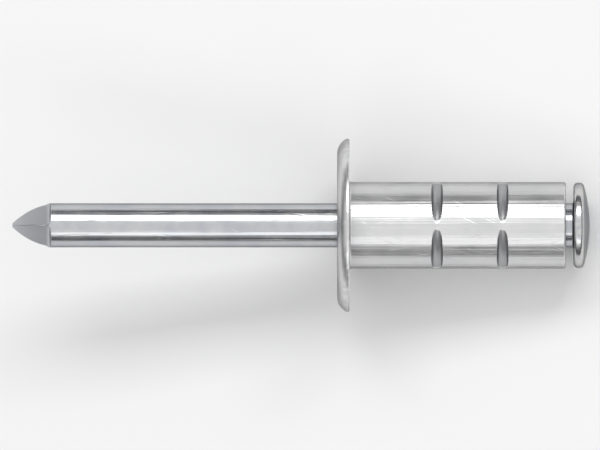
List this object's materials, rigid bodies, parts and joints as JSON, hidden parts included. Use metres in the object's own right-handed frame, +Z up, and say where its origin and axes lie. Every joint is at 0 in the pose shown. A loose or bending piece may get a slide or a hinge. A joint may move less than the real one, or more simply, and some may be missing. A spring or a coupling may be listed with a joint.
{
  "type": "blind rivet",
  "caption": "Unset multi-grip blind rivet: a flanged aluminium sleeve with two rows of pressed dents, on a steel pull mandrel with a domed head and a pinched point.",
  "frame": {"origin": "on the floor that the rivet lies on, under the middle of its length and width", "axes": "+Z up; +X along the floor towards the mandrel head; the rivet's own axis lies in the XZ plane and dips 10.71 degrees towards +X, because the rivet rests on the flange's rim and on the mandrel head; the stem points towards -X and up"},
  "size_m": [0.0264, 0.008, 0.0079],
  "materials": {
    "aluminium": "satin",
    "zinc_plated_steel": "satin"
  },
  "bodies": {
    "root": {"rivet_body": "aluminium", "mandrel": "zinc_plated_steel"}
  },
  "joints": []
}
